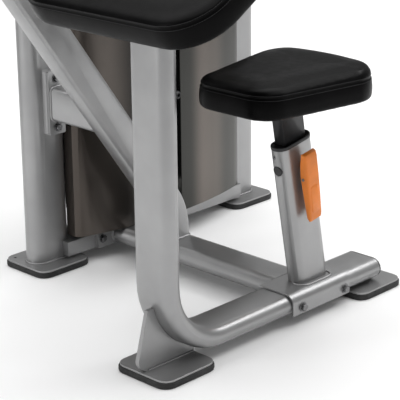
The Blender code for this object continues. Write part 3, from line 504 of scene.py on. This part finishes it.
def swell(pad, held, pressure, cap):
    """Fills the cover with cloth simulation; held says which points stay where they are."""
    start = [v.co.copy() for v in pad.data.vertices]
    group = pad.vertex_groups.new(name="held")
    group.add([v.index for v in pad.data.vertices if held(v.co)], 1.0, "REPLACE")
    cover = pad.modifiers.new("cover", "CLOTH")
    cover.settings.vertex_group_mass = "held"
    cover.settings.use_pressure = True
    cover.settings.uniform_pressure_force = pressure
    cover.settings.effector_weights.gravity = 0
    cover.settings.quality = 5
    scene = bpy.context.scene
    for step in range(1, 21):
        scene.frame_set(step)
    shape = pad.evaluated_get(bpy.context.evaluated_depsgraph_get()).to_mesh()
    ends = [v.co.copy() for v in shape.vertices]
    pad.modifiers.remove(cover)
    scene.frame_set(1)
    moves = [last - first for first, last in zip(start, ends)]
    moves = [move * (cap * (1 - exp(-move.length / cap)) / max(move.length, 1e-6)) for move in moves]
    beside = [[] for _ in moves]
    for edge in pad.data.edges:
        a, b = edge.vertices
        beside[a].append(b)
        beside[b].append(a)
    loose = [not held(first) for first in start]
    for _ in range(24):
        moves = [(move + sum((moves[n] for n in near), Vector())) / (1 + len(near)) if free else Vector()
                 for move, near, free in zip(moves, beside, loose)]
    for v, first, move in zip(pad.data.vertices, start, moves):
        v.co = first + move


def applied(obj, kind, **values):
    """Adds a modifier and makes its result the object's own mesh."""
    step = obj.modifiers.new(kind.lower(), kind)
    for name, value in values.items():
        setattr(step, name, value)
    bpy.context.view_layer.update()
    shape = bpy.data.meshes.new_from_object(obj.evaluated_get(bpy.context.evaluated_depsgraph_get()))
    obj.modifiers.clear()
    obj.data = shape


def pad_piece(node, outline, place, thick, seam, rim, cap, dish, rise, voxel):
    """A stuffed vinyl pad in its own axes, then put in place: flat below, a seam round it, a dished top.

    outline is the pad seen from above, thick its height, seam the seam's height and rim the top edge's
    roundness. cap limits the swelling, dish sinks the middle, and rise lifts the far end.
    """
    inner = offset_outline(outline, 0.0025)
    levels = [(0.009, 0.0), (0.003, 0.0022), (0.0, 0.008), (-0.0006, seam * 0.5), (0.0012, seam)]
    top = thick - 0.003
    turns = [pi / 2 * k / 6 for k in range(1, 7)]
    levels += [(0.0012 + rim * (1 - cos(a)), seam + (top - seam) * sin(a)) for a in turns]
    work = bmesh.new()
    lofted(work, [[(u, v, w) for u, v in offset_outline(inner, inset)] for inset, w in levels])
    pad = new_object(node + "_cover", work, VINYL, 180)
    applied(pad, "REMESH", mode="VOXEL", voxel_size=voxel)

    from_inner, from_edge = distance_to(inner), distance_to(outline)

    def held(p):
        return p.z < 0.004 or (abs(p.z - seam) < voxel * 0.55 and from_inner(p) < 0.008)

    swell(pad, held, pressure=4.0, cap=cap)
    applied(pad, "SUBSURF", levels=1, render_levels=1)

    length = max(v for u, v in outline)
    reach = max(abs(u) for u, v in outline)
    # The top takes its dish and its rise, and the thread draws the cover in beside the seam
    for point in pad.data.vertices:
        p = point.co
        edge = from_edge(p)
        if p.z > seam:
            depth = min(1.0, (p.z - seam) / (thick - seam))
            settle = min(1.0, max(0.0, (edge - 0.004) / (reach * 0.75)))
            p.z += (rise * p.y / length - dish * sin(pi / 2 * settle) ** 2) * depth
        if edge < 0.022:
            pull = 0.0026 * exp(-((p.z - seam) / 0.0022) ** 2) + 0.0010 * exp(-((p.z - seam) / 0.009) ** 2)
            middle = Vector((0, length / 2, p.z))
            p += (middle - p).normalized() * pull
        p.z = max(p.z, 0.0)
    pad.data.shade_smooth()
    stitches(node, pad, outline, seam, place)
    pad.data.transform(place)
    finished(pad, BODY_OF[node], "pad_vinyl", node)


def stitches(node, pad, outline, seam, place):
    """Two rows of thread, one above the seam and one below it, laid on the finished cover."""
    points = [v.co.copy() for v in pad.data.vertices]
    tree = BVHTree.FromPolygons(points, [tuple(face.vertices) for face in pad.data.polygons])
    pitch, thread = 0.0052, 0.00042
    spots = evenly(outline, pitch)
    work = bmesh.new()
    for height in (seam + 0.0046, seam - 0.0046):
        laid = []
        for k, (u, v) in enumerate(spots):
            (u0, v0), (u1, v1) = spots[k - 1], spots[(k + 1) % len(spots)]
            away = Vector((v1 - v0, u0 - u1, 0)).normalized()
            hit, normal, _, _ = tree.ray_cast(Vector((u, v, height)) + away * 0.05, -away, 0.09)
            laid.append((hit + normal * thread * 0.5) if hit else None)
        for k, here in enumerate(laid):
            after = laid[(k + 1) % len(laid)]
            if here and after:
                tube_mesh(work, [here.lerp(after, part) for part in (0.14, 0.5, 0.86)], lambda s: thread, 6)
    rows = new_object(node + "_stitches", work, THREAD, 60)
    rows.data.transform(place)
    finished(rows, BODY_OF[node], "pad_vinyl")


SEAT_TAPER = 0.034
SEAT_FRONT_CORNER, SEAT_BACK_CORNER = 0.070, 0.085


def seat_pad():
    """The seat is narrower at its front, and its round corners are larger at its back."""
    low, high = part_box("seat_pad")
    length = high.y - low.y
    front_half, back_half = (high.x - low.x) / 2 - SEAT_TAPER, (high.x - low.x) / 2 - 0.0015
    front, back = SEAT_FRONT_CORNER, SEAT_BACK_CORNER
    half = corner_arc(front_half - front, front, front, -pi / 2, -0.10)
    half += corner_arc(back_half - back, length - back, back, -0.05, pi / 2, 12)
    outline = evenly(half + [(-u, v) for u, v in reversed(half)], 0.006)
    place = Matrix.Translation(((low.x + high.x) / 2, low.y, low.z))
    pad_piece("seat_pad", outline, place, thick=0.069, seam=0.049, rim=0.020,
              cap=0.006, dish=0.007, rise=0.014, voxel=0.0048)


PAD_SLOPE = radians(31.3)
ARM_PAD_THICK = 0.070
ARM_PAD_CORNER = 0.105


def arm_pad():
    """The arm pad slopes, so its length and its place follow from its box and its slope."""
    low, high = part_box("arm_pad")
    width = high.x - low.x
    rise = high.z - low.z - ARM_PAD_THICK * cos(PAD_SLOPE)
    length = rise / sin(PAD_SLOPE)
    corners = rounded_points(width, length, ARM_PAD_CORNER, 11)
    outline = evenly([(u, v + length / 2) for u, v in corners], 0.007)
    place = (Matrix.Translation(((low.x + high.x) / 2, low.y + ARM_PAD_THICK * sin(PAD_SLOPE), low.z))
             @ Euler((PAD_SLOPE, 0, 0)).to_matrix().to_4x4())
    pad_piece("arm_pad", outline, place, thick=ARM_PAD_THICK - 0.002, seam=0.054, rim=0.016,
              cap=0.008, dish=-0.002, rise=0.0, voxel=0.006)


seat_pad()
arm_pad()

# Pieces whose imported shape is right, each with its edges' radius

EDGES = {
    "foot_plate_front": 0.0009, "foot_plate_seat": 0.0009, "seat_frame_tube": 0.0005,
    "seat_frame_end_cap": 0.0012, "link_beam": 0.0014, "saddle_bracket": 0.0007, "seat_post": 0.0004,
    "upright_front": 0.0012, "upright_rear": 0.0012, "base_beam": 0.0030, "top_beam": 0.0,
    "stub_tube": 0.0012, "mast": 0.0006, "guide_rod_front": 0.0006, "guide_rod_rear": 0.0006,
    "stack_bumper_front": 0.002, "stack_bumper_rear": 0.002, "pulley_front": 0.0007, "pulley_rear": 0.0007,
    "pulley_bracket_front": 0.0010, "pulley_bracket_rear": 0.0010, "selector_rod": 0.0,
    "pivot_housing": 0.0022, "pivot_bearing_left": 0.0006, "pivot_bearing_right": 0.0006,
    "curl_shaft": 0.0012, "cam": 0.0018, "lever_arm": 0.0022, "arm_pad_bracket": 0.0009,
    "front_shroud_left": 0.0012, "front_shroud_right": 0.0012, "rear_shroud": 0.0012, "top_cover": 0.0045,
    "lever_pivot_pin": 0.0004, "lock_pin": 0.0005, "seat_carrier": 0.0}
for node, width in EDGES.items():
    refined(node, width)

for node in ("belt", "cam_belt"):
    NODES[node].data.materials.clear()
    NODES[node].data.materials.append(WEBBING)

for foot in ("front", "seat", "tower_front", "tower_rear"):
    refined("rubber_foot_" + foot, 0.0022, RUBBER, 3)


def belt_drop():
    """The belt's run down to the stack, given a mesh of its own; on the machine this run shortens towards its
    top as the stack rises.
    """
    strap = refined("belt_drop", 0.0, WEBBING)
    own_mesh(strap)


belt_drop()


# Bolts: hexagon heads with chamfered corners on round washers

WASHER = 0.0018
HEAD_RADIUS = 0.0088


def hex_bolt(node):
    low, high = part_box(node)
    centre = Vector((low.x, (low.y + high.y) / 2, (low.z + high.z) / 2))
    washer_r = (high.y - low.y) / 2
    work = bmesh.new()
    profile = [(0.0060, 0), (washer_r - 0.0004, 0), (washer_r, 0.0004), (washer_r, WASHER - 0.0004),
               (washer_r - 0.0004, WASHER), (0.0060, WASHER)]
    turned_mesh(work, profile, centre, (1, 0, 0))
    start, end = WASHER + 0.00005, high.x - low.x
    twist = (low.y * 37.0) % 1.0

    def ring(radius, x):
        return [centre + Vector((x, radius * cos(a), radius * sin(a)))
                for a in (twist + pi / 3 * k for k in range(6))]

    lofted(work, [ring(HEAD_RADIUS, start), ring(HEAD_RADIUS, end - 0.0012), ring(HEAD_RADIUS * 0.86, end)])
    head = new_object(node + "_fine", work, BOLT_STEEL, 30)
    softened(head, 0.0004, 2, 25)
    finished(head, "frame", "bolt_steel", node)


for node in NODES:
    if "_bolt_" in node:
        hex_bolt(node)


# Seat post top: a moulded collar, a plug and a screw

POST_LEAN = radians(10.5)
POST_AXES = Euler((POST_LEAN, 0, 0)).to_matrix()
COLLAR_HEIGHT = 0.009
INNER_POST = (0.0306, 0.0726)


def post_top():
    low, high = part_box("post_collar")
    middle_x = (low.x + high.x) / 2
    lip = 0.0062
    # The collar's own axes start where its outline's middle meets the tube's end
    sunk = COLLAR_HEIGHT * sin(POST_LEAN)
    half_y = (high.y - low.y - sunk) / 2 / cos(POST_LEAN)
    start = Vector((middle_x, low.y + half_y * cos(POST_LEAN) + sunk, low.z + half_y * sin(POST_LEAN)))
    width, depth = high.x - low.x, 2 * half_y
    work = bmesh.new()

    def placed(outline, height):
        return [start + POST_AXES @ Vector((u, v, height)) for u, v in outline]

    def ring(grow, height):
        return placed(oval_points(width + grow, depth + grow, 12), height)

    def bore(grow, height):
        return placed(rounded_points(INNER_POST[0] + grow, INNER_POST[1] + grow, 0.003, 12), height)

    rings = [ring(-0.0030, 0.0002), ring(0.0002, 0.0004), ring(0.0012, 0.0020), ring(0.0012, lip),
             ring(0.0002, lip + 0.0016), ring(-0.0030, lip + 0.0022), ring(-0.0060, lip + 0.0010)]
    made = [[work.verts.new(p) for p in r] for r in rings]
    for a, b in zip(made, made[1:]):
        for k in range(len(a)):
            work.faces.new((a[k - 1], a[k], b[k], b[k - 1]))
    well = [[work.verts.new(p) for p in bore(grow, height)] for grow, height in
            ((0.0016, lip + 0.0002), (0.0004, lip - 0.0004), (0.0004, 0.0002))]
    for a, b in zip([made[-1]] + well, well):
        bridge(work, a, b)
    bridge(work, well[-1], made[0])
    collar = new_object("post_collar_fine", work, BLACK_PLASTIC, 50)
    finished(collar, "frame", "black_plastic", "post_collar")

    end_y = -depth / 2
    plug = bmesh.new()
    plug_at = start + POST_AXES @ Vector((0, end_y + 0.0018, -0.048))
    profile = [(0.0001, -0.006), (0.0116, -0.006), (0.0116, 0.0006), (0.0104, 0.0018), (0.0001, 0.0018)]
    turned_mesh(plug, profile, plug_at, POST_AXES @ Vector((0, -1, 0)))
    finished(new_object("post_plug", plug, BLACK_PLASTIC, 40), "frame", "black_plastic")
    screw = bmesh.new()
    screw_at = start + POST_AXES @ Vector((-0.004, end_y + 0.0006, -0.0165))
    profile = [(0.0014, 0.0006), (0.0014, -0.001), (0.0038, -0.001), (0.0038, 0.0006), (0.0028, 0.0018),
               (0.0014, 0.0020)]
    turned_mesh(screw, profile, screw_at, POST_AXES @ Vector((0, -1, 0)), 24)
    finished(new_object("post_screw", screw, BOLT_STEEL, 40), "frame", "bolt_steel")


post_top()


# Seat lever: a moulded hollow handle with a grip panel let into its outer face

LEVER_WIDTH = 0.040
LEVER_MIDDLE = 0.0022
POCKET = (0.022, 0.040)
POCKET_Z = -0.037


def seat_lever():
    pin_low, pin_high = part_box("lever_pivot_pin")
    pivot = (pin_low + pin_high) / 2
    # The side view as (out, up) from the pivot: down the inner edge, then back up the outer edge
    inner = [(-0.0010, 0.0560), (-0.0062, 0.0340), (-0.0092, 0.0060), (-0.0092, -0.0060),
             (-0.0072, -0.0450), (-0.0042, -0.0960)]
    outer = [(0.0020, -0.1045), (0.0056, -0.1030), (0.0078, -0.0940), (0.0106, -0.0500), (0.0130, 0.0),
             (0.0138, 0.0480), (0.0120, 0.0585), (0.0050, 0.0625)]
    side = inner + outer
    work = bmesh.new()

    def ring(across, shrink):
        """The side view at one place across the lever, shrunk towards its middle line."""
        points = []
        for out, up in side:
            p = Vector((out, across, up))
            back = Vector((LEVER_MIDDLE, across, up * 0.985)) - p
            points.append(pivot + POST_AXES @ (p + back.normalized() * shrink))
        return points

    half = LEVER_WIDTH / 2
    lofted(work, [ring(-half, 0.0034), ring(-half + 0.0012, 0.0012), ring(-half + 0.0040, 0.0),
                  ring(half - 0.0040, 0.0), ring(half - 0.0012, 0.0012), ring(half, 0.0034)])
    body = new_object("seat_lever_body", work, ORANGE, 34)
    # The lock pin's button sits in a pocket in the lever's inner face
    room = bmesh.new()
    corners = rounded_points(*POCKET, 0.004, 3)
    lofted(room, [[pivot + POST_AXES @ Vector((out, v, up + POCKET_Z)) for v, up in corners]
                  for out in (-0.030, 0.0020)])
    pocket = new_object("lever_pocket", room, ORANGE)
    applied(body, "BOOLEAN", operation="DIFFERENCE", object=pocket)
    bpy.data.objects.remove(pocket)
    softened(body, 0.0016, 3, 22)
    finished(body, "seat_lever", "orange_plastic", "seat_lever")

    panel = bmesh.new()

    def face(up):
        """The outer face's distance from the pivot at a height."""
        stops = outer[2:6]
        for (a, lo), (b, hi) in zip(stops, stops[1:]):
            if lo <= up <= hi:
                return a + (b - a) * (up - lo) / (hi - lo)
        return stops[-1][0]

    rings = []
    for grow, lift in ((0.0, -0.0006), (0.0, 0.0005), (-0.0012, 0.0011)):
        ring_points = []
        for v, w in rounded_points(0.026 + 2 * grow, 0.066 + 2 * grow, 0.007 + grow, 8):
            up = w - 0.052
            ring_points.append(pivot + POST_AXES @ Vector((face(up) + lift, v, up)))
        rings.append(ring_points)
    lofted(panel, rings)
    grip = new_object("seat_lever_panel", panel, ORANGE, 30)
    finished(grip, "seat_lever", "orange_plastic")

    for side_sign in (-1, 1):
        screw = bmesh.new()
        at = pivot + POST_AXES @ Vector((0, side_sign * (half - 0.0004), 0))
        profile = [(0.0012, -0.0006), (0.0034, -0.0006), (0.0034, 0.0004), (0.0024, 0.0010), (0.0012, 0.0006)]
        turned_mesh(screw, profile, at, POST_AXES @ Vector((0, side_sign, 0)), 24)
        finished(new_object(f"lever_screw_{'front' if side_sign < 0 else 'back'}", screw, BOLT_STEEL, 40),
                 "seat_lever", "bolt_steel")


seat_lever()


# Weight stack: single plates with chamfered edges, and the pin's knob

PITCH = 0.0265
PLATE_GAP = 0.0004
PLATE_CHAMFER = 0.0014


def plate_mesh(work, low, high, z0, z1):
    """One plate with its edges chamfered."""
    rings = []
    middle, size = (low + high) / 2, high - low
    levels = ((PLATE_CHAMFER, z0), (0, z0 + PLATE_CHAMFER), (0, z1 - PLATE_CHAMFER), (PLATE_CHAMFER, z1))
    for inset, z in levels:
        outline = rounded_points(size.x - 2 * inset, size.y - 2 * inset, 0.008 - inset / 2, 5)
        rings.append([Vector((middle.x + u, middle.y + v, z)) for u, v in outline])
    lofted(work, rings)


def weight_plates(node, low, high, count, pitch):
    work = bmesh.new()
    for k in range(count):
        plate_mesh(work, low, high, low.z + pitch * k, low.z + pitch * (k + 1) - PLATE_GAP)
    finished(new_object(node + "_fine", work, STACK_PAINT, 30), BODY_OF[node], SLOT_OF[node], node)


def plate_marks(node, low, high, count, pitch):
    """A bright ring round each plate's pin hole, and a black disc in the hole as its painted shade."""
    rings, hole_shades = bmesh.new(), bmesh.new()
    rim = [(0.0058, -0.002), (0.0082, -0.002), (0.0082, 0.0006), (0.0076, 0.0010), (0.0058, 0.0010)]
    floor = [(0.0001, -0.002), (0.0057, -0.002), (0.0057, 0.0002), (0.0001, 0.0002)]
    for k in range(count):
        at = Vector((high.x, (low.y + high.y) / 2, low.z + pitch * (k + 0.5)))
        turned_mesh(rings, rim, at, (1, 0, 0), 24)
        # A black disc in each pin hole is painted shade for the hole's depth
        turned_mesh(hole_shades, floor, at, (1, 0, 0), 20)
    finished(new_object(node + "_rings", rings, BRIGHT_STEEL, 30), BODY_OF[node], "bright_steel")
    finished(new_object(node + "_holes", hole_shades, RUBBER, 30), BODY_OF[node], "black_rubber")


for node in ("resting_plates", "lifted_plates"):
    low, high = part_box(node)
    count = round((high.z - low.z) / PITCH)
    pitch = (high.z - low.z + 0.0003) / count
    weight_plates(node, low, high, count, pitch)
    plate_marks(node, low, high, count, pitch)
refined("head_plate", 0.0014, STACK_PAINT)


def selector_pin():
    low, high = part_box("selector_pin")
    centre = Vector((low.x, (low.y + high.y) / 2, (low.z + high.z) / 2))
    length = high.x - low.x
    work = bmesh.new()
    # The stem ends inside the knob
    inside = length - 0.05
    stem = [(0.0001, 0), (0.0038, 0), (0.0049, 0.0012), (0.0049, inside), (0.0001, inside)]
    turned_mesh(work, stem, centre, (1, 0, 0), 24)
    pin = new_object("selector_pin_stem", work, BRIGHT_STEEL, 40)
    finished(pin, "selector_pin", "bolt_steel", "selector_pin")
    knob = bmesh.new()
    start = length - 0.052
    profile = [(0.0050, start), (0.0080, start), (0.0104, start + 0.002), (0.0108, start + 0.010),
               (0.0085, start + 0.020), (0.0085, start + 0.030), (0.0108, start + 0.040),
               (0.0100, start + 0.049), (0.0070, length), (0.0050, length)]
    turned_mesh(knob, profile, centre, (1, 0, 0), 32)
    finished(new_object("selector_pin_knob", knob, BLACK_PLASTIC, 40), "selector_pin", "black_plastic")


selector_pin()


# Handle: one bar with rolled bends, and ribbed grips

def rounded_path(stops, radius, steps=8):
    """A path through the stops with its corners rounded."""
    path = [stops[0]]
    for before, here, after in zip(stops, stops[1:], stops[2:]):
        reach = min(radius, (here - before).length * 0.45, (after - here).length * 0.45)
        start, end = here + (before - here).normalized() * reach, here + (after - here).normalized() * reach
        for k in range(steps + 1):
            t = k / steps
            path.append(start * (1 - t) ** 2 + here * 2 * t * (1 - t) + end * t ** 2)
    path.append(stops[-1])
    return path


GRIP_SKEW = radians(18)
BAR_RADIUS = 0.0140
RIBS = 30


def handle():
    """The grips are skewed, so their half length follows from their boxes and their skew."""
    right_low, right_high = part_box("grip_right")
    z = (right_low.z + right_high.z) / 2
    skew = GRIP_SKEW
    grip_r = (right_high.z - right_low.z) / 2
    half = ((right_high.x - right_low.x) - 2 * grip_r * sin(skew)) / 2 / cos(skew)
    middle_x = (right_low.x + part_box("grip_left")[1].x) / 2
    right = Vector(((right_low.x + right_high.x) / 2, (right_low.y + right_high.y) / 2, z))
    away = Vector((cos(skew), -sin(skew), 0))
    inner, outer = right - away * (half + 0.006), right + away * (half - 0.004)

    def mirrored(p):
        return Vector((2 * middle_x - p.x, p.y, p.z))

    left_outer = mirrored(right + away * (half + 0.010))
    lever_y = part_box("lever_arm")[0].y + 0.024
    bar_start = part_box("handle_bar")[0].x
    stops = [Vector((bar_start, lever_y, z)), Vector((left_outer.x - 0.035, lever_y, z)), left_outer,
             mirrored(inner), inner, outer]
    work = bmesh.new()
    tube_mesh(work, rounded_path(stops, 0.022), lambda s: BAR_RADIUS, 24)
    finished(new_object("handle_bar_fine", work, BLACK_PAINT, 40), "curl_arm", "black_paint", "handle_bar")

    other_way = Vector((-away.x, away.y, 0))
    bore = BAR_RADIUS + 0.0002
    step = (2 * half - 0.010) / RIBS
    for name, centre, direction in (("grip_right", right, away), ("grip_left", mirrored(right), other_way)):
        profile = [(bore, -half), (grip_r, -half), (grip_r, -half + 0.004)]
        for k in range(RIBS):
            start = -half + 0.005 + step * k
            profile += [(grip_r - 0.0010, start + step * 0.1), (grip_r - 0.0002, start + step * 0.35),
                        (grip_r - 0.0002, start + step * 0.75), (grip_r - 0.0010, start + step)]
        profile += [(grip_r, half - 0.004), (grip_r, half - 0.001), (grip_r - 0.003, half)]
        # The bar ends inside the right grip, which is closed, and passes through the left one
        if name == "grip_right":
            profile += [(0.0001, half), (0.0001, half - 0.0015), (bore, half - 0.0015)]
        else:
            profile.append((bore, half))
        work = bmesh.new()
        turned_mesh(work, profile, centre, direction, 40)
        finished(new_object(name + "_fine", work, GRIP_FOAM, 35), "curl_arm", "black_rubber", name)


handle()


# Weld beads

def flat_loop(points, z):
    return [Vector((x, y, z)) for x, y in points]


PLATE_TOP = 0.0175
UPRIGHT_SECTION = (0.060, 0.1145)
REAR_UPRIGHT_Y = 0.710
ROD_RADIUS = 0.0095


def beads():
    """A bead lies just above the plate and just outside the tube that it joins to it."""
    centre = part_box("guide_rod_front")[0].x + ROD_RADIUS
    front_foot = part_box("rubber_foot_tower_front")
    for name, y in (("front", (front_foot[0].y + front_foot[1].y) / 2), ("rear", REAR_UPRIGHT_Y)):
        section = oval_points(UPRIGHT_SECTION[0] + 0.002, UPRIGHT_SECTION[1] + 0.002)
        loop = [(centre + u, y + v) for u, v in section]
        bead(f"weld_upright_{name}", flat_loop(loop, PLATE_TOP + 0.001))
    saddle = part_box("saddle_bracket")
    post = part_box("seat_post")
    x = (post[0].x + post[1].x) / 2
    y = post[1].y - 0.0535 / cos(POST_LEAN)
    around = [(x + u, y + v / cos(POST_LEAN)) for u, v in oval_points(0.048, 0.108)]
    bead("weld_post", flat_loop(around, saddle[1].z + 0.0008))
    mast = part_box("mast")
    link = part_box("link_beam")
    x = (mast[0].x + mast[1].x) / 2
    loop = [(x + u, mast[1].y - 0.040 + v) for u, v in rounded_points(0.052, 0.082, 0.010, 5)]
    bead("weld_mast_foot", flat_loop(loop, link[1].z + 0.001))
    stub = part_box("stub_tube")
    y, z = (0.022 + 0.072) / 2, (0.378 + 0.460) / 2
    x = stub[0].x + 0.0075 + 0.001
    loop = [Vector((x, y + u, z + v)) for u, v in rounded_points(0.052, 0.084, 0.013, 5)]
    bead("weld_stub", loop)
    flange_x = link[0].x + 0.012
    loop = [Vector((flange_x + 0.001, 0.250 + u, 0.047 + v)) for u, v in oval_points(0.108, 0.046)]
    bead("weld_link", loop)
    for side in (-1, 1):
        x = 0.251 + side * 0.0062
        path = [Vector((x, -0.246, PLATE_TOP + 0.001)), Vector((x, -0.114, PLATE_TOP + 0.001))]
        bead(f"weld_gusset_{'left' if side < 0 else 'right'}", path, False, 0.0022)


beads()
